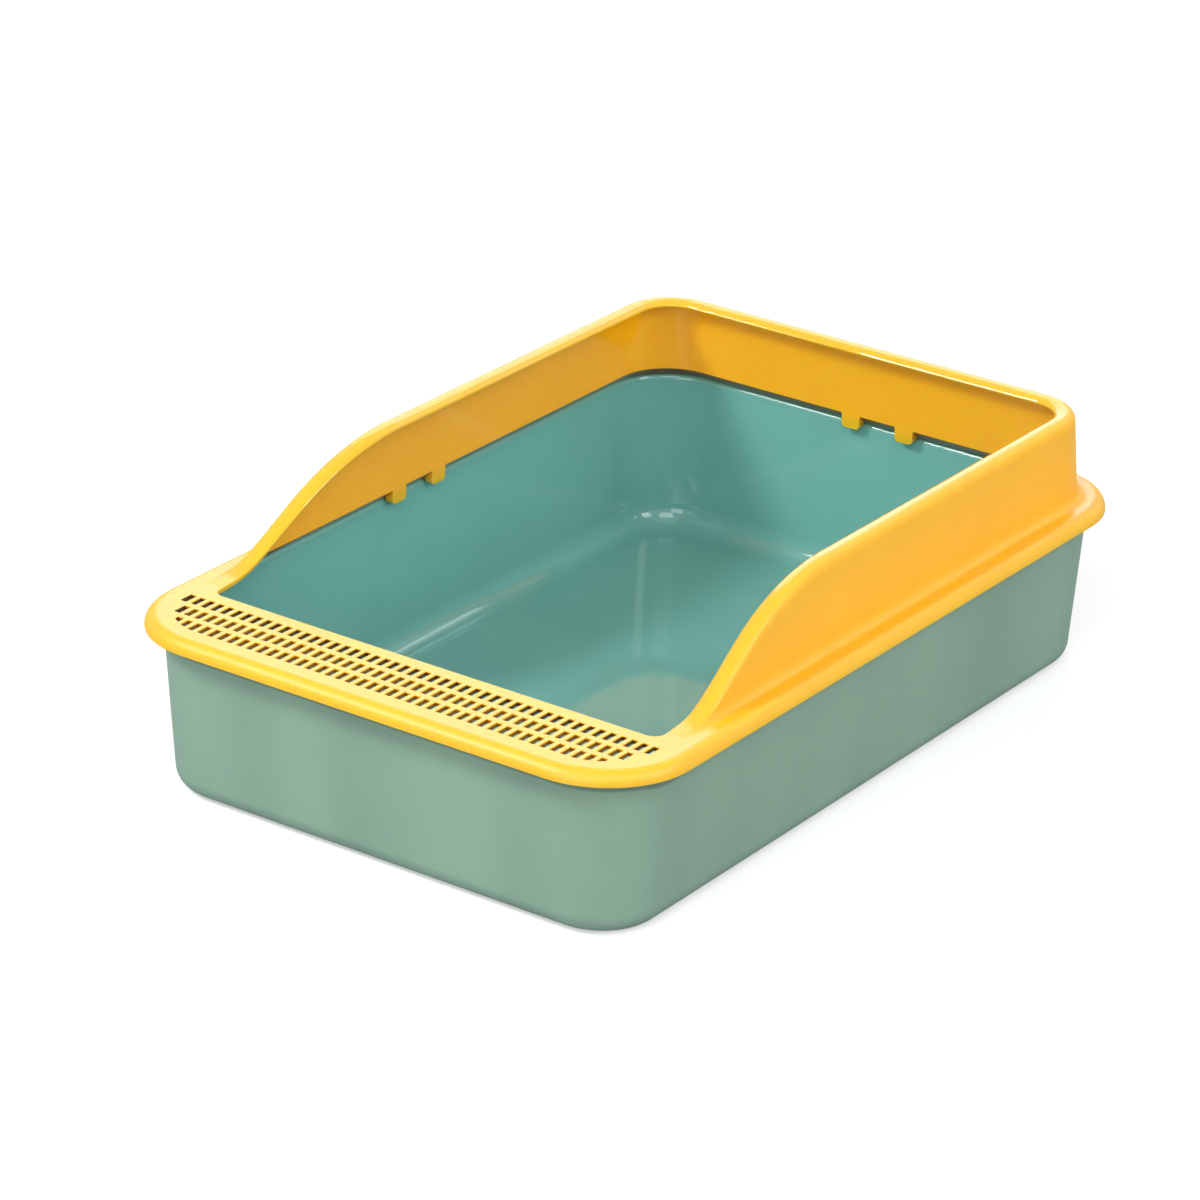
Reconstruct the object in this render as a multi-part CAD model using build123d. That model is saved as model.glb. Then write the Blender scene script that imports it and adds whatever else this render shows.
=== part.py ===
"""Semi-enclosed litter tray: a deep pan and a lift-off splash guard with a slotted front platform.

Millimetres, +Z up. The origin is on the floor, under the middle of the tray.
X runs across the tray, the low entry side faces -Y and the high back faces +Y.

Both mouldings follow the same outline, the edge of the guard's lip. An inset is a distance
inwards from that edge, so a cross-section is drawn once, as inset against height, and is
carried round the tray: along the sides, round the corners and along the back.
"""
import os
from math import acos, cos, exp, radians, sin, sqrt, tan

from build123d import *

# Overall size, over the guard's lip
LENGTH = 500.0
WIDTH = 338.0
HEIGHT = 150.0
LIP_CORNER_RADIUS = 52.0

# Guard: lip and front platform
PLATFORM_TOP = 100.0
GUARD_WALL = 2.5
NOSE_RADIUS = 7.0
SKIRT_DEPTH = 7.5
PLATFORM_DEPTH = 59.5
OPENING_SIDE_INSET = 25.0
OPENING_CORNER_RADIUS = 7.0

# Guard: wall and turned-in rim
LEDGE_WIDTH = 10.7
FOOT_RADIUS = 6.0
FOOT_BEVEL = 5.2
WALL_LEAN = 4.7
RIM_WIDTH = 11.5
RIM_ROUND = 5.5
RIM_FALL = 2.5
RIM_EDGE = 1.0

# Guard: the sweep of the rim down to the platform
SWEEP_SETBACK = 69.0
SWEEP_TOE_RADIUS = 60.0
SWEEP_CREST_RADIUS = 165.0
SWEEP_ANGLE = 31.0
SWEEP_GROWTH = 14.0
SWEEP_SPREAD = 3.0
SWEEP_STATIONS = 13

# Guard: drain slots in the platform
SLOT_WIDTH = 3.9
SLOT_LENGTH = 9.4
SLOT_PITCH = 6.5
SLOT_ROW_PITCH = 13.2
SLOT_ROWS = 3
SLOT_FIRST_ROW = 12.7
SLOT_SIDE_MARGIN = 17.0
SLOT_FIELD_INSET = 15.2

# Guard: locating tabs below the wall
TAB_WIDTH = 12.0
TAB_DROP = 8.4
TAB_PLATE = 2.0
TAB_ROOT = 1.0
TAB_CORNER_RADIUS = 2.5
TAB_SPACING = 36.2
TAB_SIDE_MIDDLE = -0.7
TAB_BACK_MIDDLE = 5.1

# Pan
PAN_WALL = 3.0
PAN_FLOOR = 3.5
PAN_TOP_INSET = 9.8
PAN_DRAFT = 4.0
PAN_BASE_RADIUS = 12.0
PAN_INNER_RADIUS = 14.0
PAN_EDGE_ROUND = 4.0
PAN_RIM_THICKNESS = 2.0
PAN_RIM_DEPTH = 4.6

# Fits between the two mouldings; the bevel is that of the lip's inside and of the rim in it
LIP_BEVEL = 3.2
SEAT_GAP = 0.3
SIDE_GAP = 0.6
TAB_GAP = 0.5

# Worked out from the sizes above
HALF_WIDTH = WIDTH / 2
HALF_LENGTH = LENGTH / 2
CORNER_X = HALF_WIDTH - LIP_CORNER_RADIUS
CORNER_Y = HALF_LENGTH - LIP_CORNER_RADIUS
RIM_RISE = HEIGHT - PLATFORM_TOP
SKIRT_BOTTOM = PLATFORM_TOP - SKIRT_DEPTH
UNDERSIDE = PLATFORM_TOP - GUARD_WALL
OPENING_FRONT_Y = PLATFORM_DEPTH - HALF_LENGTH
SWEEP_START_Y = SWEEP_SETBACK - HALF_LENGTH
PAN_RIM_TOP = UNDERSIDE - SEAT_GAP
PAN_RIM_INSET = GUARD_WALL + SIDE_GAP


def outline(inset):
    """The tray's rounded outline, moved inwards with concentric corners."""
    return RectangleRounded(WIDTH - 2 * inset, LENGTH - 2 * inset, LIP_CORNER_RADIUS - inset)


def side_plane(y):
    """Plane across the right-hand side: local x is the inset, local y the height."""
    return Plane(origin=(HALF_WIDTH, y, 0), x_dir=(-1, 0, 0), z_dir=(0, 1, 0))


def back_plane(x):
    """Plane across the back: local x is the inset, local y the height."""
    return Plane(origin=(x, HALF_LENGTH, 0), x_dir=(0, -1, 0), z_dir=(-1, 0, 0))


def rounded_slab(inset, bottom, top, top_radius):
    """A slab of the tray's outline with its top edge rounded over."""
    slab = extrude(Plane.XY.offset(bottom) * outline(inset), top - bottom)
    return fillet(slab.faces().sort_by(Axis.Z)[-1].edges(), top_radius)


def bevelled_slab(inset, bottom, top, bevel):
    """A slab of the tray's outline with its top edge bevelled."""
    slab = extrude(Plane.XY.offset(bottom) * outline(inset), top - bottom)
    return chamfer(slab.faces().sort_by(Axis.Z)[-1].edges(), bevel)


def sweep_angle():
    """Steepest slope of the sweep: two arcs that meet sooner if the rim is low."""
    radii = SWEEP_TOE_RADIUS + SWEEP_CREST_RADIUS
    return min(radians(SWEEP_ANGLE), acos(1 - min(RIM_RISE / radii, 1)))


def sweep_parts():
    """Run of the toe arc, of the straight ramp and of the crest arc."""
    angle = sweep_angle()
    arcs_rise = (SWEEP_TOE_RADIUS + SWEEP_CREST_RADIUS) * (1 - cos(angle))
    toe = SWEEP_TOE_RADIUS * sin(angle)
    ramp = (RIM_RISE - arcs_rise) / tan(angle)
    crest = SWEEP_CREST_RADIUS * sin(angle)
    return toe, ramp, crest


def sweep_rise(along):
    """Height of the rim above the platform, this far behind the sweep's start."""
    toe, ramp, crest = sweep_parts()
    if along <= toe:
        return SWEEP_TOE_RADIUS - sqrt(SWEEP_TOE_RADIUS**2 - along**2)
    if along <= toe + ramp:
        toe_rise = SWEEP_TOE_RADIUS * (1 - cos(sweep_angle()))
        return toe_rise + (along - toe) * tan(sweep_angle())
    left = max(toe + ramp + crest - along, 0)
    return RIM_RISE - SWEEP_CREST_RADIUS + sqrt(SWEEP_CREST_RADIUS**2 - left**2)


def wall_inset(height):
    """Inset of the guard wall's outer face, which leans inwards as it rises."""
    above_foot = height - PLATFORM_TOP - FOOT_RADIUS
    return LEDGE_WIDTH + FOOT_RADIUS + above_foot * tan(radians(WALL_LEAN))


def guard_section(rise):
    """Cross-section of the guard where its rim stands this high above the platform.

    Where the rise is small the wall lies down into the platform: its foot, its bevel and the
    rim's rounding grow with the rise, and the wall's ends spread apart as it flattens.
    """
    grown = (1 - exp(-rise / SWEEP_GROWTH)) / (1 - exp(-RIM_RISE / SWEEP_GROWTH))
    spread = SWEEP_SPREAD * (1 - grown)
    top = PLATFORM_TOP + rise
    low = PLATFORM_TOP + FOOT_RADIUS * grown
    high = top - RIM_ROUND * grown
    edge_top = top - RIM_FALL * grown
    edge_bottom = edge_top - GUARD_WALL + (GUARD_WALL - RIM_EDGE) * grown
    inner_top = top - GUARD_WALL
    inner_low = UNDERSIDE + FOOT_BEVEL * grown
    inner_high = inner_top - (RIM_ROUND - GUARD_WALL) * grown
    full_edge = wall_inset(HEIGHT) + RIM_WIDTH
    edge = OPENING_SIDE_INSET + (full_edge - OPENING_SIDE_INSET) * rise / RIM_RISE
    crown = wall_inset(top) + RIM_ROUND
    rim_shoulder = edge - (edge - crown) / 4
    inner_low_inset = wall_inset(inner_low) + GUARD_WALL - spread * 2 / 3
    bevel_end = inner_low_inset - FOOT_BEVEL
    nose_centre = (NOSE_RADIUS, PLATFORM_TOP - NOSE_RADIUS)

    ledge_end = (LEDGE_WIDTH, PLATFORM_TOP)
    wall_foot = (wall_inset(PLATFORM_TOP) - spread, PLATFORM_TOP)
    wall_low = (wall_inset(low) - spread * 2 / 3, low)
    wall_high = (wall_inset(high) - spread / 3, high)
    inside_low = (inner_low_inset, inner_low)
    inside_high = (wall_inset(high) + GUARD_WALL - spread / 3, inner_high)
    edges = [
        Line((0, SKIRT_BOTTOM), (0, nose_centre[1])),
        CenterArc(nose_centre, NOSE_RADIUS, 180, -90),
        Line((NOSE_RADIUS, PLATFORM_TOP), ledge_end),
        Bezier(ledge_end, wall_foot, wall_low),
        Line(wall_low, wall_high),
        Bezier(wall_high, (wall_inset(top), top), (crown, top)),
        Bezier((crown, top), (rim_shoulder, top), (edge, edge_top)),
        Line((edge, edge_top), (edge, edge_bottom)),
        Line((edge, edge_bottom), (crown, inner_top)),
        Line((crown, inner_top), inside_high),
        Line(inside_high, inside_low),
        Line(inside_low, (bevel_end, UNDERSIDE)),
        Line((bevel_end, UNDERSIDE), (GUARD_WALL + LIP_BEVEL, UNDERSIDE)),
        Line((GUARD_WALL + LIP_BEVEL, UNDERSIDE), (GUARD_WALL, UNDERSIDE - LIP_BEVEL)),
        Line((GUARD_WALL, UNDERSIDE - LIP_BEVEL), (GUARD_WALL, SKIRT_BOTTOM)),
        Line((GUARD_WALL, SKIRT_BOTTOM), (0, SKIRT_BOTTOM)),
    ]
    return make_face(edges)


def guard_front():
    """The lip's front end with the flat platform, as far back as the start of the sweep."""
    skin = rounded_slab(0, SKIRT_BOTTOM, PLATFORM_TOP, NOSE_RADIUS)
    skin -= bevelled_slab(GUARD_WALL, SKIRT_BOTTOM, UNDERSIDE, LIP_BEVEL)
    mouth = RectangleRounded(WIDTH - 2 * OPENING_SIDE_INSET, LENGTH, OPENING_CORNER_RADIUS)
    skin -= extrude(Pos(0, OPENING_FRONT_Y + LENGTH / 2, 0) * mouth, HEIGHT)
    kept = Pos(0, SWEEP_START_Y - LENGTH / 2, HEIGHT / 2) * Box(WIDTH, LENGTH, HEIGHT)
    return skin & kept


def guard_right_half():
    """The right-hand side, back corner and half of the back, behind the platform."""
    run = sum(sweep_parts())
    sweep_end = SWEEP_START_Y + run
    stations = [run * i / SWEEP_STATIONS for i in range(SWEEP_STATIONS + 1)]
    sections = [side_plane(SWEEP_START_Y + a) * guard_section(sweep_rise(a)) for a in stations]
    full = guard_section(RIM_RISE)
    corner_axis = Axis((CORNER_X, CORNER_Y, 0), (0, 0, 1))
    half = loft(sections)
    half += extrude(side_plane(sweep_end) * full, CORNER_Y - sweep_end)
    half += revolve(side_plane(CORNER_Y) * full, corner_axis, 90)
    half += extrude(back_plane(CORNER_X) * full, CORNER_X)
    return half


def drain_slots():
    """Cutters for the rows of slots, clipped to a field that follows the lip's corners."""
    slots = []
    for row in range(SLOT_ROWS):
        y = OPENING_FRONT_Y - SLOT_FIRST_ROW - row * SLOT_ROW_PITCH
        side = int((HALF_WIDTH - SLOT_SIDE_MARGIN) / SLOT_PITCH) - row
        for column in range(-side, side + 1):
            slots.append(Pos(column * SLOT_PITCH, y) * Rectangle(SLOT_WIDTH, SLOT_LENGTH))
    field = Sketch() + slots
    field &= outline(SLOT_FIELD_INSET)
    return extrude(Plane.XY.offset(SKIRT_BOTTOM) * field, PLATFORM_TOP)


def locating_tab():
    """A tab with two side ribs that reach back to the pan's wall, in the section's own frame."""
    root = UNDERSIDE + FOOT_BEVEL
    face = wall_inset(root) + GUARD_WALL
    bottom = root - TAB_DROP
    pan_face = PAN_TOP_INSET + PAN_WALL + (PAN_RIM_TOP - bottom) * tan(radians(PAN_DRAFT))
    back = pan_face + TAB_GAP
    within = face - TAB_ROOT
    corners = [(back, bottom), (face, bottom), (face, root), (within, root), (back, root - within + back)]
    tab = extrude(make_face(Polyline(*corners, close=True)), TAB_WIDTH / 2, both=True)
    tab = fillet(tab.edges().filter_by(Axis.X).group_by(Axis.Y)[0], TAB_CORNER_RADIUS)
    pocket = Box(face - back, TAB_DROP, TAB_WIDTH - 2 * TAB_PLATE)
    return tab - Pos((face + back) / 2 - TAB_PLATE, (root + bottom) / 2, 0) * pocket


def splash_guard():
    """The whole guard, as one moulding."""
    half = guard_right_half()
    guard = guard_front() + half + mirror(half, about=Plane.YZ)
    guard -= drain_slots()
    tab = locating_tab()
    for shift in (-TAB_SPACING / 2, TAB_SPACING / 2):
        side_tab = side_plane(TAB_SIDE_MIDDLE + shift) * tab
        guard += side_tab
        guard += mirror(side_tab, about=Plane.YZ)
        guard += back_plane(TAB_BACK_MIDDLE + shift) * tab
    return guard


def tapered_tub(inset, bottom, base_radius):
    """A block that narrows downwards with the pan's draft, its base edge rounded."""
    rim_plane = Plane(origin=(0, 0, PAN_RIM_TOP), z_dir=(0, 0, -1))
    tub = extrude(rim_plane * outline(inset), PAN_RIM_TOP - bottom, taper=PAN_DRAFT)
    return fillet(tub.faces().sort_by(Axis.Z)[0].edges(), base_radius)


def litter_pan():
    """The pan: drafted walls, rounded floor and an out-turned rim under the guard's lip."""
    rim_bottom = PAN_RIM_TOP - PAN_RIM_DEPTH
    inner_bevel = LIP_BEVEL - PAN_RIM_THICKNESS * (2 - sqrt(2))
    hollow_inset = PAN_RIM_INSET + PAN_RIM_THICKNESS
    rim = bevelled_slab(PAN_RIM_INSET, rim_bottom, PAN_RIM_TOP, LIP_BEVEL)
    rim -= bevelled_slab(hollow_inset, rim_bottom, PAN_RIM_TOP - PAN_RIM_THICKNESS, inner_bevel)
    pan = rim + tapered_tub(PAN_TOP_INSET, 0, PAN_BASE_RADIUS)
    pan -= tapered_tub(PAN_TOP_INSET + PAN_WALL, PAN_FLOOR, PAN_INNER_RADIUS)
    inner_edge = pan.faces().sort_by(Axis.Z)[-1].inner_wires()[0].edges()
    return fillet(inner_edge, PAN_EDGE_ROUND)


os.makedirs("parts", exist_ok=True)
export_step(litter_pan(), "parts/litter_pan.step")
export_step(splash_guard(), "parts/splash_guard.step")
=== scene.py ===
"""Looks of a semi-enclosed litter tray: a grey-green pan under a warm yellow splash guard.

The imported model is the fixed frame. This script gives its two mouldings their plastics and
sets a plain studio round them, with the camera where the reference picture was taken from.
Metres, +Z up; the origin is on the floor, under the middle of the tray.
"""

import logging
import math
from dataclasses import dataclass
from enum import Enum

import bpy
from mathutils import Matrix, Vector


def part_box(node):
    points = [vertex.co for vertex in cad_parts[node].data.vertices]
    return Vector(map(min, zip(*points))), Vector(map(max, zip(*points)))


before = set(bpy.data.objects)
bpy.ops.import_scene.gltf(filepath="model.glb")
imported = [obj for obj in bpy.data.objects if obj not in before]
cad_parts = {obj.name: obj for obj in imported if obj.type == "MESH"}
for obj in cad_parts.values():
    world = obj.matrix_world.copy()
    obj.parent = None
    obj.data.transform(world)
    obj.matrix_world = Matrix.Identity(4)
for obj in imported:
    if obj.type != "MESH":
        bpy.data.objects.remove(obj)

LOG = logging.getLogger("litter_tray")
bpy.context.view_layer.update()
MM = 0.001

Number = float | int
Colour = tuple[float, float, float]


def from_srgb(red: int, green: int, blue: int) -> Colour:
    """Turn a colour as a screen shows it into the linear values that a shader takes.

    Args:
        red: Red, 0 to 255.
        green: Green, 0 to 255.
        blue: Blue, 0 to 255.

    Returns:
        The three linear values, 0 to 1.
    """
    shares = (red / 255, green / 255, blue / 255)
    return tuple(c / 12.92 if c <= 0.04045 else ((c + 0.055) / 1.055) ** 2.4 for c in shares)


class Socket:
    """A node's output that takes part in arithmetic and adds the nodes that work it out."""

    def __init__(self, graph: "Graph", output: bpy.types.NodeSocket) -> None:
        """Wrap an output of a node in this graph."""
        self.graph = graph
        self.output = output

    @property
    def is_vector(self) -> bool:
        """Whether the output carries three values."""
        return self.output.type in {"VECTOR", "RGBA"}

    def _maths(self, operation: str, *operands: "Socket | Number | tuple") -> "Socket":
        """Add a Math node, or a Vector Math node where an operand has three values.

        Args:
            operation: The node's operation.
            operands: Sockets, numbers or tuples, in the order of the node's inputs.

        Returns:
            The node's result.
        """
        vectors = any(isinstance(o, tuple) or (isinstance(o, Socket) and o.is_vector) for o in operands)
        if not vectors:
            return self.graph.add("ShaderNodeMath", {"operation": operation}, dict(enumerate(operands)))
        wide = [(o, o, o) if isinstance(o, (int, float)) else o for o in operands]
        return self.graph.add("ShaderNodeVectorMath", {"operation": operation}, dict(enumerate(wide)))

    def __add__(self, other: "Socket | Number | tuple") -> "Socket":
        """Sum."""
        return self._maths("ADD", self, other)

    def __radd__(self, other: "Number | tuple") -> "Socket":
        """Sum with a number on the left."""
        return self._maths("ADD", other, self)

    def __sub__(self, other: "Socket | Number | tuple") -> "Socket":
        """Difference."""
        return self._maths("SUBTRACT", self, other)

    def __rsub__(self, other: "Number | tuple") -> "Socket":
        """Difference with a number on the left."""
        return self._maths("SUBTRACT", other, self)

    def __mul__(self, other: "Socket | Number | tuple") -> "Socket":
        """Product."""
        return self._maths("MULTIPLY", self, other)

    def __rmul__(self, other: "Number | tuple") -> "Socket":
        """Product with a number on the left."""
        return self._maths("MULTIPLY", other, self)

    def __abs__(self) -> "Socket":
        """Size without sign."""
        return self._maths("ABSOLUTE", self)

    def at_least(self, least: "Socket | Number | tuple") -> "Socket":
        """The larger of this and another value."""
        return self._maths("MAXIMUM", self, least)

    def at_most(self, most: "Socket | Number | tuple") -> "Socket":
        """The smaller of this and another value."""
        return self._maths("MINIMUM", self, most)

    def length(self) -> "Socket":
        """Length of this vector."""
        node = self.graph.node("ShaderNodeVectorMath", {"operation": "LENGTH"}, {0: self})
        return Socket(self.graph, node.outputs["Value"])

    def dot(self, other: "Socket") -> "Socket":
        """Dot product of this vector and another."""
        node = self.graph.node("ShaderNodeVectorMath", {"operation": "DOT_PRODUCT"}, {0: self, 1: other})
        return Socket(self.graph, node.outputs["Value"])

    def unit(self) -> "Socket":
        """This vector at length one."""
        return self._maths("NORMALIZE", self)

    def parts(self) -> tuple["Socket", "Socket", "Socket"]:
        """The vector's three values, apart."""
        node = self.graph.node("ShaderNodeSeparateXYZ", {}, {0: self})
        return tuple(Socket(self.graph, output) for output in node.outputs)

    def rise(self, low: float, high: float) -> "Socket":
        """A smooth step from 0 where this value is low to 1 where it is high.

        Args:
            low: The value at which the step starts.
            high: The value at which it ends.

        Returns:
            The step, 0 to 1.
        """
        settings = {"interpolation_type": "SMOOTHSTEP"}
        inputs = {"Value": self, "From Min": low, "From Max": high}
        return self.graph.add("ShaderNodeMapRange", settings, inputs)

    def blend(self, off: "Socket | tuple", on: "Socket | tuple") -> "Socket":
        """Mix two colours, with this value as the share of the second.

        Args:
            off: The colour where this value is 0.
            on: The colour where it is 1.

        Returns:
            The mixed colour.
        """
        settings = {"data_type": "RGBA"}
        inputs = {"Factor_Float": self, "A_Color": off, "B_Color": on}
        node = self.graph.node("ShaderNodeMix", settings, inputs)
        return Socket(self.graph, self.graph.port(node.outputs, "Result_Color"))


class Graph:
    """The node tree of one material, world or lamp."""

    def __init__(self, tree: bpy.types.NodeTree) -> None:
        """Start from an empty tree."""
        self.tree = tree
        self.tree.nodes.clear()

    @staticmethod
    def port(ports: bpy.types.bpy_prop_collection, key: "str | int") -> bpy.types.NodeSocket:
        """Find an input or output by number, name or identifier.

        Args:
            ports: A node's inputs or outputs.
            key: The number, name or identifier looked for.

        Returns:
            The port.
        """
        if isinstance(key, int):
            return ports[key]
        named = [p for p in ports if p.identifier == key] or [p for p in ports if p.name == key]
        return named[0]

    def node(self, kind: str, settings: dict, inputs: dict) -> bpy.types.Node:
        """Add a node, set it up and feed it.

        Args:
            kind: The node's Blender type.
            settings: Its properties by name, such as a Math node's operation.
            inputs: Values or sockets by input number, name or identifier.

        Returns:
            The node.
        """
        node = self.tree.nodes.new(kind)
        for name, value in settings.items():
            setattr(node, name, value)
        for key, value in inputs.items():
            port = self.port(node.inputs, key)
            if isinstance(value, Socket):
                self.tree.links.new(value.output, port)
            elif isinstance(value, tuple) and port.type == "RGBA":
                port.default_value = (*value, 1.0)
            else:
                port.default_value = value
        return node

    def add(self, kind: str, settings: dict, inputs: dict) -> Socket:
        """Add a node as node() does and return its first output."""
        return Socket(self, self.node(kind, settings, inputs).outputs[0])

    def noise(self, where: Socket, size: float, detail: float = 2.0, roughness: float = 0.5) -> Socket:
        """Add a noise whose blotches are about this large.

        Args:
            where: The place that the noise is read at, in metres.
            size: Size of one blotch, in metres.
            detail: Octaves of finer noise.
            roughness: Strength of the finer noise.

        Returns:
            The noise, 0 to 1, mostly near a half.
        """
        inputs = {"Vector": where, "Scale": 1 / size, "Detail": detail, "Roughness": roughness}
        return self.add("ShaderNodeTexNoise", {"normalize": True}, inputs)


@dataclass(frozen=True)
class Mottle:
    """An irregular pattern: nothing below one level of a noise, and full above another.

    Attributes:
        size: Size of one blotch.
        low: The level of the noise where the pattern starts.
        high: The level where it is full.
        detail: Octaves of finer noise.
        roughness: Strength of the finer noise.
        squeeze: Scale of the place along X, Y and Z: below 1 it draws the blotches out.
    """

    size: float
    low: float
    high: float
    detail: float = 1.0
    roughness: float = 0.5
    squeeze: tuple[float, float, float] = (1.0, 1.0, 1.0)

    def over(self, graph: Graph, place: Socket) -> Socket:
        """Read the pattern at a place.

        Args:
            graph: The material's graph.
            place: The place, in metres.

        Returns:
            1 in a blotch and 0 between them.
        """
        noise = graph.noise(place * self.squeeze, self.size, self.detail, self.roughness)
        return noise.rise(self.low, self.high)


# The patterns that both plastics share.
BLOTCHES = Mottle(45 * MM, 0.35, 0.65, detail=3.0)
# Painted reflection: slow upright bands, darker, for the surroundings seen in the outer walls' satin.
REFLECTION_BANDS = Mottle(75 * MM, 0.36, 0.64, squeeze=(1.0, 1.0, 0.08))
SMUDGES = Mottle(60 * MM, 0.42, 0.7, detail=4.0, roughness=0.55)
SMUDGE_OFFSET = (0.31, 0.17, 0.09)
SPECK_SIZE = 1.6 * MM
SPECK_LEVELS = (0.45, 0.75)
SPECK_SHARE = 0.4
SCRATCHES_ALONG = Mottle(1.1 * MM, 0.69, 0.74, squeeze=(1.0, 0.06, 1.0))
SCRATCHES_ACROSS = Mottle(1.3 * MM, 0.70, 0.75, squeeze=(0.07, 1.0, 1.0))
SCRATCHED_PATCHES = Mottle(35 * MM, 0.45, 0.62, detail=2.0)


@dataclass(frozen=True)
class Outline:
    """The tray's rounded outline at the lip.

    Attributes:
        half_width: Half of the size along X.
        half_length: Half of the size along Y.
        corner: Radius of the corners.
    """

    half_width: float
    half_length: float
    corner: float

    def reach(self, place: Socket) -> Socket:
        """How far out a place lies from the nearest point between the corner centres.

        Args:
            place: The place on the object.

        Returns:
            A level vector, as long as the corner's radius where the place is at the lip's edge.
        """
        core = (self.half_width - self.corner, self.half_length - self.corner, 1.0)
        back = tuple(-c for c in core)
        level = place * (1.0, 1.0, 0.0)
        return level - level.at_least(back).at_most(core)

    def inset(self, place: Socket) -> Socket:
        """How far inwards of the lip's edge a place lies."""
        return self.corner - self.reach(place).length()


# Between upright faces and level ones, by the upward part of the normal.
LEVEL_FACES = (0.3, 0.6)


@dataclass(frozen=True)
class Surface:
    """What a finish knows of the point that it colours.

    Attributes:
        graph: The material's graph.
        place: The place, in metres.
        normal: The surface's direction.
        facing: 1 on a wall that looks out of the tray, -1 on one that looks in, 0 on a level face.
        inset: The distance inwards of the lip's edge.
    """

    graph: Graph
    place: Socket
    normal: Socket
    facing: Socket
    inset: Socket

    @classmethod
    def of(cls, graph: Graph, outline: Outline) -> "Surface":
        """Read the place and the direction, and set them against the tray's outline.

        Args:
            graph: The material's graph.
            outline: The tray's outline.

        Returns:
            The surface.
        """
        coordinates = graph.node("ShaderNodeTexCoord", {}, {})
        place = Socket(graph, coordinates.outputs["Object"])
        normal = Socket(graph, coordinates.outputs["Normal"])
        facing = outline.reach(place).unit().dot(normal)
        return cls(graph, place, normal, facing, outline.inset(place))

    def between(self, low: float, high: float, soft: float, axis: int = 2) -> Socket:
        """Whether the place lies between two values along an axis.

        Args:
            low: The lower value.
            high: The upper value.
            soft: Width of the soft edge at each end.
            axis: 0, 1 or 2 for X, Y or Z.

        Returns:
            1 between them and 0 outside.
        """
        along = self.place.parts()[axis]
        return along.rise(low - soft, low) * (1 - along.rise(high, high + soft))

    def upright(self) -> Socket:
        """1 on upright faces and 0 on level ones."""
        return 1 - abs(self.normal.parts()[2]).rise(*LEVEL_FACES)


class Ray(Enum):
    """The kinds of light ray that a surface can answer apart."""

    CAMERA = "Is Camera Ray"
    GLOSSY = "Is Glossy Ray"
    THROUGH = "Is Transmission Ray"

    def told(self, graph: Graph) -> Socket:
        """1 for a ray of this kind and 0 for any other."""
        return Socket(graph, graph.node("ShaderNodeLightPath", {}, {}).outputs[self.value])


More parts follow.
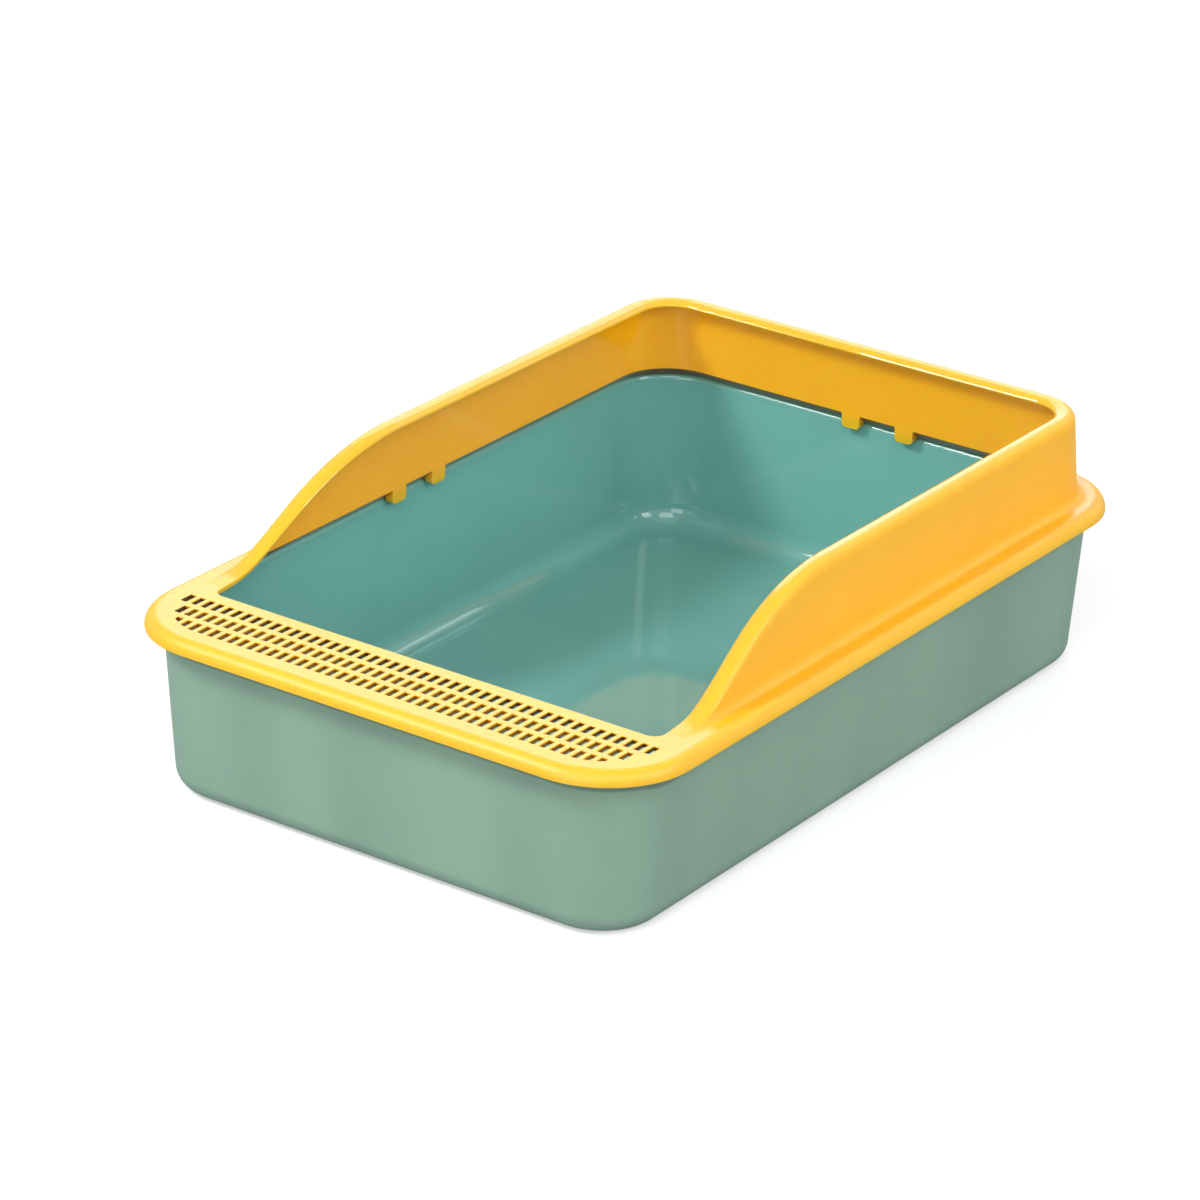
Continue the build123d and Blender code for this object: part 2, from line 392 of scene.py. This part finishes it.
@dataclass(frozen=True)
class MouldedPlastic:
    """Injection-moulded plastic, satin on its outer faces and glossier inside.

    Attributes:
        name: Name of the material.
        outer_tone: Colour of the outer faces; on the pan it is greyer, painted sheen and floor bounce.
        inner_tone: Colour of the inner faces; its difference from the outer tone is painted light.
        pale: Colour of rubbed edges and scuffs.
        shade: Colour of the painted shade that the mouldings lay where their shadows fall.
        outer_roughness: Roughness of the outer faces.
        inner_roughness: Roughness of the inner faces.
        outward: Values of the facing between which the inner finish turns into the outer one.
        glow: Share of the light that goes through the plastic before it comes out again.
        glow_reach: How far each of red, green and blue goes in it, as a share of the scale.
        glow_scale: The longest way that light goes in it.
        blotch: How much darker the blotches are, as a share.
        band: How much darker the slow upright bands of the outer walls are, a painted reflection.
        grain_size: Size of the fine grain on the outer faces.
        grain_depth: Depth of the grain.
        ripple_size: Size of the slow ripple that moulding leaves.
        ripple_depth: Depth of the ripple.
        scratch_depth: Depth of the fine scratches.
        edge_radius: Radius that the sharp edges are rounded to.
        edge_bend: How well the rounded normal follows the true one on an edge and beside it.
        edge_wear: How pale the rubbed edges are, as a share of the pale colour.
        scratch_wear: How pale the scratches are.
        unevenness: How much the smudges and the scratches add to the roughness.
        speck_roughness: How much the fine specks add to it.
        refraction: The plastic's index of refraction.
    """

    name: str
    outer_tone: Colour
    inner_tone: Colour
    pale: Colour
    shade: Colour
    outer_roughness: float
    inner_roughness: float
    glow: float
    outward: tuple[float, float] = (-0.25, 0.35)
    glow_reach: Colour = (1.0, 0.5, 0.1)
    glow_scale: float = 10 * MM
    blotch: float = 0.05
    band: float = 0.0
    grain_size: float = 0.9 * MM
    grain_depth: float = 0.02 * MM
    ripple_size: float = 26 * MM
    ripple_depth: float = 0.05 * MM
    scratch_depth: float = 0.002 * MM
    edge_radius: float = 0.5 * MM
    edge_bend: tuple[float, float] = (0.80, 0.995)
    edge_wear: float = 0.3
    scratch_wear: float = 0.03
    unevenness: float = 0.03
    speck_roughness: float = 0.02
    refraction: float = 1.53

    def make(self, outline: Outline) -> bpy.types.Material:
        """Build the material.

        Args:
            outline: The outline that tells the outer faces from the inner ones.

        Returns:
            The material.
        """
        material = bpy.data.materials.new(self.name)
        material.use_nodes = True
        graph = Graph(material.node_tree)
        surface = Surface.of(graph, outline)
        outer = self.satin(surface)
        specks = graph.noise(surface.place, SPECK_SIZE, detail=2.0, roughness=0.6)
        scratches = self.scratches(surface)
        rounded = graph.add("ShaderNodeBevel", {"samples": 4}, {"Radius": self.edge_radius})
        shader = graph.add(
            "ShaderNodeBsdfPrincipled",
            {},
            {
                "Base Color": self.colour(surface, outer, specks, scratches, rounded),
                "Roughness": self.roughness(surface, outer, specks, scratches),
                "Normal": self.relief(surface, outer, scratches, rounded),
                "IOR": self.refraction,
                "Subsurface Weight": self.glow,
                "Subsurface Radius": self.glow_reach,
                "Subsurface Scale": self.glow_scale,
            },
        )
        graph.node("ShaderNodeOutputMaterial", {}, {"Surface": shader})
        return material

    def colour(
        self, surface: Surface, outer: Socket, specks: Socket, scratches: Socket, rounded: Socket
    ) -> Socket:
        """The colour: two tones that differ as painted light, mottled, paler where rubbed, with painted
        shade.

        Args:
            surface: The surface.
            outer: The share of the outer finish.
            specks: The noise of the fine specks.
            scratches: 1 in a scratch.
            rounded: The rounded normal.

        Returns:
            The colour.
        """
        blotches = BLOTCHES.over(surface.graph, surface.place)
        mottled = blotches * (1 - SPECK_SHARE) + specks.rise(*SPECK_LEVELS) * SPECK_SHARE
        # Painted reflection: darker upright bands on the outer walls.
        bands = REFLECTION_BANDS.over(surface.graph, surface.place) * outer
        brightness = 1 - mottled * self.blotch - bands * self.band
        rubbed = self.edges(surface.graph, rounded) * self.edge_wear
        wear = (rubbed + scratches * self.scratch_wear).at_most(1.0)
        # Painted light: the split between the inner and outer tones of the one plastic.
        colour = wear.blend(outer.blend(self.inner_tone, self.outer_tone) * brightness, self.pale)
        # Painted shade: the shade colour laid where each moulding's shadows fall.
        return self.painted_shade(surface).blend(colour, self.shade)

    def roughness(self, surface: Surface, outer: Socket, specks: Socket, scratches: Socket) -> Socket:
        """The roughness: satin outside, glossy inside, uneven with smudges and scratches.

        Args:
            surface: The surface.
            outer: The share of the outer finish.
            specks: The noise of the fine specks.
            scratches: 1 in a scratch.

        Returns:
            The roughness.
        """
        smudges = SMUDGES.over(surface.graph, surface.place + SMUDGE_OFFSET)
        base = outer * (self.outer_roughness - self.inner_roughness) + self.inner_roughness
        return base + (smudges + scratches) * self.unevenness + specks * self.speck_roughness

    def relief(self, surface: Surface, outer: Socket, scratches: Socket, rounded: Socket) -> Socket:
        """The fine relief: grain outside, a slow ripple and the scratches, over rounded edges.

        Args:
            surface: The surface.
            outer: The share of the outer finish.
            scratches: 1 in a scratch.
            rounded: The rounded normal.

        Returns:
            The normal.
        """
        graph = surface.graph
        grain = graph.noise(surface.place, self.grain_size, detail=2.0, roughness=0.6) * outer
        ripple = graph.noise(surface.place, self.ripple_size, detail=1.0, roughness=0.4)
        height = grain * self.grain_depth + ripple * self.ripple_depth - scratches * self.scratch_depth
        inputs = {"Strength": 1.0, "Distance": 1.0, "Height": height, "Normal": rounded}
        return graph.add("ShaderNodeBump", {}, inputs)

    def satin(self, surface: Surface) -> Socket:
        """The share of the outer finish, which level faces have in part.

        Args:
            surface: The surface.

        Returns:
            1 on outer walls and 0 on inner ones.
        """
        return surface.facing.rise(*self.outward)

    def painted_shade(self, surface: Surface) -> Socket:
        """Where the painted shade lies, which each moulding says for itself.

        Args:
            surface: The surface.

        Returns:
            1 in a crevice and 0 elsewhere.
        """
        raise NotImplementedError

    def scratches(self, surface: Surface) -> Socket:
        """Fine scratches that cross each other, sparse.

        Args:
            surface: The surface.

        Returns:
            1 in a scratch and 0 elsewhere.
        """
        along = SCRATCHES_ALONG.over(surface.graph, surface.place)
        across = SCRATCHES_ACROSS.over(surface.graph, surface.place)
        return along.at_least(across) * SCRATCHED_PATCHES.over(surface.graph, surface.place)

    def edges(self, graph: Graph, rounded: Socket) -> Socket:
        """Edges that handling has rubbed: where a rounded normal leaves the true one.

        Args:
            graph: The material's graph.
            rounded: The rounded normal.

        Returns:
            1 on an edge and 0 on a flat face.
        """
        true_normal = Socket(graph, graph.node("ShaderNodeNewGeometry", {}, {}).outputs["Normal"])
        return 1 - rounded.dot(true_normal).rise(*self.edge_bend)


@dataclass(frozen=True)
class GuardPlastic(MouldedPlastic):
    """The guard's plastic, with painted shade on its drain slots' walls and a painted shadow line along
    the foot of its inner wall.

    Attributes:
        slot_heights: Lowest and highest place of the painted shade on the slots' walls.
        slot_soft: How far above it the painted shade fades out.
        slot_rows: Front and back of the rows of slots.
        slot_half_span: Half of the rows' length.
        back_row: Where the back row of slots, whose painted shade is the darkest, starts.
        front_row_shade: How dark the painted shade of the other rows is, as a share of the back row.
        foot_heights: Lowest and highest place of the painted shadow line at the foot of the inner wall.
        foot_inset: The furthest inset that the wall's foot has.
        foot_facing: Values of the facing between which the foot turns away from the inside.
        foot_soft: How far the painted shadow line fades out upwards and downwards.
        inset_soft: How far it fades out inwards.
        tab_middles: Middle of the pair of tabs along a side and along the back.
        tab_half_spacing: Half of the distance between the two tabs of a pair.
        tab_half_width: Half of a tab's width.
        tab_soft: Width of the soft edge beside a tab.
        soft: Width of the soft edge of the slots' painted shade along X and Y.
    """

    slot_heights: tuple[float, float] = (97.5 * MM, 99.0 * MM)
    slot_soft: float = 0.8 * MM
    slot_rows: tuple[float, float] = (-236 * MM, -197.5 * MM)
    slot_half_span: float = 156 * MM
    back_row: float = -210 * MM
    front_row_shade: float = 0.8
    foot_heights: tuple[float, float] = (97 * MM, 102.6 * MM)
    foot_inset: float = 22 * MM
    foot_facing: tuple[float, float] = (-0.65, -0.4)
    foot_soft: float = 0.7 * MM
    inset_soft: float = 0.5 * MM
    tab_middles: tuple[float, float] = (-0.7 * MM, 5.1 * MM)
    tab_half_spacing: float = 18.1 * MM
    tab_half_width: float = 6.2 * MM
    tab_soft: float = 0.3 * MM
    soft: float = 0.1 * MM

    def painted_shade(self, surface: Surface) -> Socket:
        """Painted shade on the walls of the drain slots, and a painted shadow line at the inner wall's
        foot.

        Args:
            surface: The surface.

        Returns:
            1 in a crevice and 0 elsewhere.
        """
        slots = surface.between(*self.slot_heights, self.slot_soft) * surface.upright()
        slots = slots * surface.between(*self.slot_rows, self.soft, axis=1)
        slots = slots * surface.between(-self.slot_half_span, self.slot_half_span, self.soft, axis=0)
        back_row = surface.between(self.back_row, 0.0, self.soft, axis=1)
        shade_strength = self.front_row_shade + back_row * (1 - self.front_row_shade)
        return (slots * shade_strength).at_least(self.foot(surface))

    def foot(self, surface: Surface) -> Socket:
        """The painted shadow line at the foot of the inner wall, which the tabs interrupt.

        Args:
            surface: The surface.

        Returns:
            1 on the line and 0 elsewhere.
        """
        inward = 1 - surface.facing.rise(*self.foot_facing)
        near = 1 - surface.inset.rise(self.foot_inset, self.foot_inset + self.inset_soft)
        line = surface.between(*self.foot_heights, self.foot_soft)
        return line * inward * near * (1 - self.tabs(surface))

    def tabs(self, surface: Surface) -> Socket:
        """Whether the place is level with one of the locating tabs.

        Args:
            surface: The surface.

        Returns:
            1 beside a tab and 0 elsewhere.
        """
        found = []
        for axis, middle in zip((1, 0), self.tab_middles):
            along = surface.place.parts()[axis]
            away = abs(abs(along - middle) - self.tab_half_spacing)
            found.append(1 - away.rise(self.tab_half_width, self.tab_half_width + self.tab_soft))
        return found[0].at_least(found[1])


@dataclass(frozen=True)
class PanPlastic(MouldedPlastic):
    """The pan's plastic, with a painted shadow band under the guard's lip.

    Attributes:
        lip_shade: Heights between which the painted shadow band under the lip sets in, at the front.
        side_drop: How much lower it sets in along the sides.
        lip_shade_strength: How dark the painted shadow band is, as a share of the shade colour.
        lip_facing: Values of the facing between which the band sets in.
        side_facing: Sideways parts of the normal between which a wall counts as a side.
        floor_upward: Upward parts of the normal between which a face counts as the floor.
    """

    lip_shade: tuple[float, float] = (84.3 * MM, 85.8 * MM)
    side_drop: float = 2.2 * MM
    lip_shade_strength: float = 0.45
    lip_facing: tuple[float, float] = (0.4, 0.8)
    side_facing: tuple[float, float] = (0.85, 1.0)
    floor_upward: tuple[float, float] = (0.1, 0.6)

    def satin(self, surface: Surface) -> Socket:
        """The share of the outer finish: the floor, which looks up, has the inner one.

        Args:
            surface: The surface.

        Returns:
            1 on outer walls and 0 on inner ones and on the floor.
        """
        return super().satin(surface) * (1 - surface.normal.parts()[2].rise(*self.floor_upward))

    def painted_shade(self, surface: Surface) -> Socket:
        """Painted shadow on the top of the outer walls, which the guard's lip covers.

        Args:
            surface: The surface.

        Returns:
            1 under the lip and 0 elsewhere.
        """
        # Painted shadow: along the sides the band starts lower.
        side = abs(surface.normal.parts()[0]).rise(*self.side_facing)
        height = surface.place.parts()[2] + side * self.side_drop
        outside = surface.facing.rise(*self.lip_facing)
        return height.rise(*self.lip_shade) * outside * self.lip_shade_strength


@dataclass(frozen=True)
class Moulding:
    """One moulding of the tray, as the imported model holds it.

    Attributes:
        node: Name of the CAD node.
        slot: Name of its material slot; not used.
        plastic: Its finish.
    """

    node: str
    slot: str
    plastic: MouldedPlastic

    def build(self) -> bpy.types.Object:
        """Fetch the moulding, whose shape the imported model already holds."""
        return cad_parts[self.node]

    def dress(self, moulding: bpy.types.Object, outline: Outline) -> None:
        """Put the plastic on the moulding.

        Args:
            moulding: The moulding's object.
            outline: The tray's outline.
        """
        material = self.plastic.make(outline)
        for slot in moulding.material_slots:
            slot.link = "OBJECT"
            slot.material = material
        LOG.info("%s: %s, %d faces", self.node, material.name, len(moulding.data.polygons))


@dataclass(frozen=True)
class Softbox:
    """A lamp with an even, oblong face that points at the tray.

    Attributes:
        name: Its name.
        place: Where it hangs.
        width: Its level side.
        height: Its other side.
        level: The brightness that it gives a white surface that faces it.
    """

    name: str
    place: tuple[float, float, float]
    width: float
    height: float
    level: float

    def hang(self, target: Vector) -> None:
        """Add the lamp.

        Args:
            target: The point that it faces.
        """
        lamp = bpy.data.lights.new(self.name, "AREA")
        lamp.shape = "RECTANGLE"
        lamp.size, lamp.size_y = self.width, self.height
        reach = target - Vector(self.place)
        # The power at which a matt white face at the target, square to the lamp, shines at the level.
        lamp.energy = self.level * math.pi * math.pi * reach.length_squared
        thing = bpy.data.objects.new(self.name, lamp)
        thing.location = self.place
        thing.rotation_euler = reach.to_track_quat("-Z", "Y").to_euler()
        bpy.context.scene.collection.objects.link(thing)
        LOG.info("lamp %s at level %.2f", self.name, self.level)


@dataclass(frozen=True)
class Camera:
    """The camera of the reference picture, worked out from the tray's edges.

    Attributes:
        place: Where it stands.
        azimuth: Angle round the tray, in degrees.
        elevation: Angle above the horizon, in degrees.
        roll: Angle about the view's axis, in degrees.
        lens: Focal length in millimetres, on a sensor of 36 mm.
        shift: Shift of the view, as a share of the picture's width.
    """

    place: tuple[float, float, float] = (1.4450, -2.1201, 1.2122)
    azimuth: float = 35.137
    elevation: float = 24.080
    roll: float = 1.424
    lens: float = 154.19
    shift: tuple[float, float] = (0.02685, 0.00396)

    def stand(self) -> None:
        """Add the camera and make it the scene's own."""
        azimuth, elevation, roll = (math.radians(a) for a in (self.azimuth, self.elevation, self.roll))
        level_right = Vector((math.cos(azimuth), math.sin(azimuth), 0))
        back = Vector((
            math.sin(azimuth) * math.cos(elevation),
            -math.cos(azimuth) * math.cos(elevation),
            math.sin(elevation),
        ))
        level_up = back.cross(level_right)
        right = level_right * math.cos(roll) + level_up * math.sin(roll)
        up = level_up * math.cos(roll) - level_right * math.sin(roll)
        camera = bpy.data.cameras.new("camera")
        camera.lens = self.lens
        camera.shift_x, camera.shift_y = self.shift
        thing = bpy.data.objects.new("camera", camera)
        turn = Matrix((right, up, back)).transposed().to_4x4()
        thing.matrix_world = Matrix.Translation(self.place) @ turn
        bpy.context.scene.collection.objects.link(thing)
        bpy.context.scene.camera = thing


@dataclass(frozen=True)
class Studio:
    """A plain white studio: floor, soft lamps, even surroundings and the camera.

    Attributes:
        floor_size: Length of the floor's side.
        surroundings: Level of the light from all round.
        floor_glow: Share of the floor's white that doesn't depend on the lamps.
        far_glow: How much of it is added far from the lamps.
        far: Distances from the tray between which it is added.
        shown_grey: The floor's own grey as the camera sees it.
        paper_greys: The two greys of the floor's paper as the tray is lit by it.
        fibres: The pattern of the paper's fibres.
        target: The point that the lamps face.
        lamps: The lamps.
    """

    floor_size: float = 30.0
    surroundings: float = 0.36
    floor_glow: float = 0.45
    far_glow: float = 0.4
    far: tuple[float, float] = (1.0, 3.5)
    shown_grey: float = 0.62
    paper_greys: tuple[float, float] = (0.44, 0.46)
    fibres: Mottle = Mottle(3 * MM, 0.3, 0.7, detail=3.0)
    target: tuple[float, float, float] = (0, 0, 80 * MM)
    lamps: tuple[Softbox, ...] = (
        Softbox("behind", (-1.3, 1.9, 1.15), 1.6, 1.6, 0.22),
        Softbox("key", (1.0, -1.4, 2.0), 1.2, 1.2, 0.27),
        Softbox("left", (-1.15, -1.45, 1.85), 0.6, 0.6, 0.62),
        Softbox("right", (2.0, 0.2, 1.4), 1.2, 1.2, 0.44),
        Softbox("front", (0.3, -2.3, 0.8), 1.2, 1.2, 0.26),
        Softbox("low_right", (2.2, -0.9, 0.8), 1.2, 1.2, 0.07),
        Softbox("strip", (0.5, 1.9, 1.5), 0.4, 1.6, 0.08),
    )

    def build(self) -> None:
        """Add the floor, the lamps, the world and the camera."""
        self.lay_floor()
        self.fill_world()
        for lamp in self.lamps:
            lamp.hang(Vector(self.target))
        Camera().stand()
        bpy.context.scene.view_settings.view_transform = "Standard"

    def lay_floor(self) -> None:
        """Add a floor that shows white and keeps the tray's shadow."""
        half = self.floor_size / 2
        mesh = bpy.data.meshes.new("floor")
        corners = [(-half, -half, 0), (half, -half, 0), (half, half, 0), (-half, half, 0)]
        mesh.from_pydata(corners, [], [(0, 1, 2, 3)])
        floor = bpy.data.objects.new("floor", mesh)
        bpy.context.scene.collection.objects.link(floor)
        material = bpy.data.materials.new("floor_paper")
        material.use_nodes = True
        graph = Graph(material.node_tree)
        seen = Ray.CAMERA.told(graph)
        coordinates = Socket(graph, graph.node("ShaderNodeTexCoord", {}, {}).outputs["Object"])
        greys = ((level, level, level) for level in self.paper_greys)
        paper = self.fibres.over(graph, coordinates).blend(*greys)
        lit = graph.add("ShaderNodeBsdfDiffuse", {}, {"Color": paper})
        shown_grey = (self.shown_grey, self.shown_grey, self.shown_grey)
        shown = graph.add("ShaderNodeBsdfDiffuse", {}, {"Color": shown_grey})
        far = coordinates.length().rise(*self.far)
        glow = graph.add("ShaderNodeEmission", {}, {"Strength": far * self.far_glow + self.floor_glow})
        white = graph.add("ShaderNodeAddShader", {}, {0: shown, 1: glow})
        surface = graph.add("ShaderNodeMixShader", {}, {0: seen, 1: lit, 2: white})
        graph.node("ShaderNodeOutputMaterial", {}, {"Surface": surface})
        floor.data.materials.append(material)

    def fill_world(self) -> None:
        """Light the tray from all round, and show white to the camera and in reflections."""
        world = bpy.data.worlds.new("studio")
        world.use_nodes = True
        bpy.context.scene.world = world
        graph = Graph(world.node_tree)
        seen = (Ray.CAMERA.told(graph) + Ray.GLOSSY.told(graph) + Ray.THROUGH.told(graph)).at_most(1.0)
        strength = seen * (1 - self.surroundings) + self.surroundings
        light = graph.add("ShaderNodeBackground", {}, {"Color": (1.0, 1.0, 1.0), "Strength": strength})
        graph.node("ShaderNodeOutputWorld", {}, {"Surface": light})


GUARD_PLASTIC = GuardPlastic(
    name="guard_plastic",
    outer_tone=(0.98, 0.455, 0.010),
    # Painted light: a touch brighter than the outer tone, for the shaded inner walls.
    inner_tone=(1.0, 0.455, 0.008),
    pale=from_srgb(252, 203, 126),
    # Painted shade: the dark brown of the shadows in the guard's slots and at its wall's foot.
    shade=from_srgb(88, 54, 8),
    outer_roughness=0.42,
    inner_roughness=0.05,
    glow=0.6,
)

PAN_PLASTIC = PanPlastic(
    name="pan_plastic",
    # Painted light: the outer tone greyer for sheen and floor bounce, the inner a deeper teal for
    # bounced light.
    outer_tone=(0.226, 0.375, 0.286),
    inner_tone=(0.153, 0.400, 0.368),
    pale=from_srgb(150, 184, 170),
    # Painted shadow: the dark grey-green of the band under the lip.
    shade=from_srgb(48, 62, 50),
    outer_roughness=0.45,
    inner_roughness=0.05,
    glow=0.0,
    # Painted reflection: upright bands on the pan's outer walls.
    band=0.11,
)

LIP_CORNER_RADIUS = 52 * MM


def main() -> None:
    """Dress the two mouldings against the guard's outline and set up the studio."""
    logging.basicConfig(level=logging.INFO, format="%(name)s: %(message)s")
    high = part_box("splash_guard")[1]
    outline = Outline(high.x, high.y, LIP_CORNER_RADIUS)
    for piece in (
        Moulding("litter_pan", "pan_plastic", PAN_PLASTIC),
        Moulding("splash_guard", "guard_plastic", GUARD_PLASTIC),
    ):
        piece.dress(piece.build(), outline)
    Studio().build()


if __name__ == "__main__":
    main()
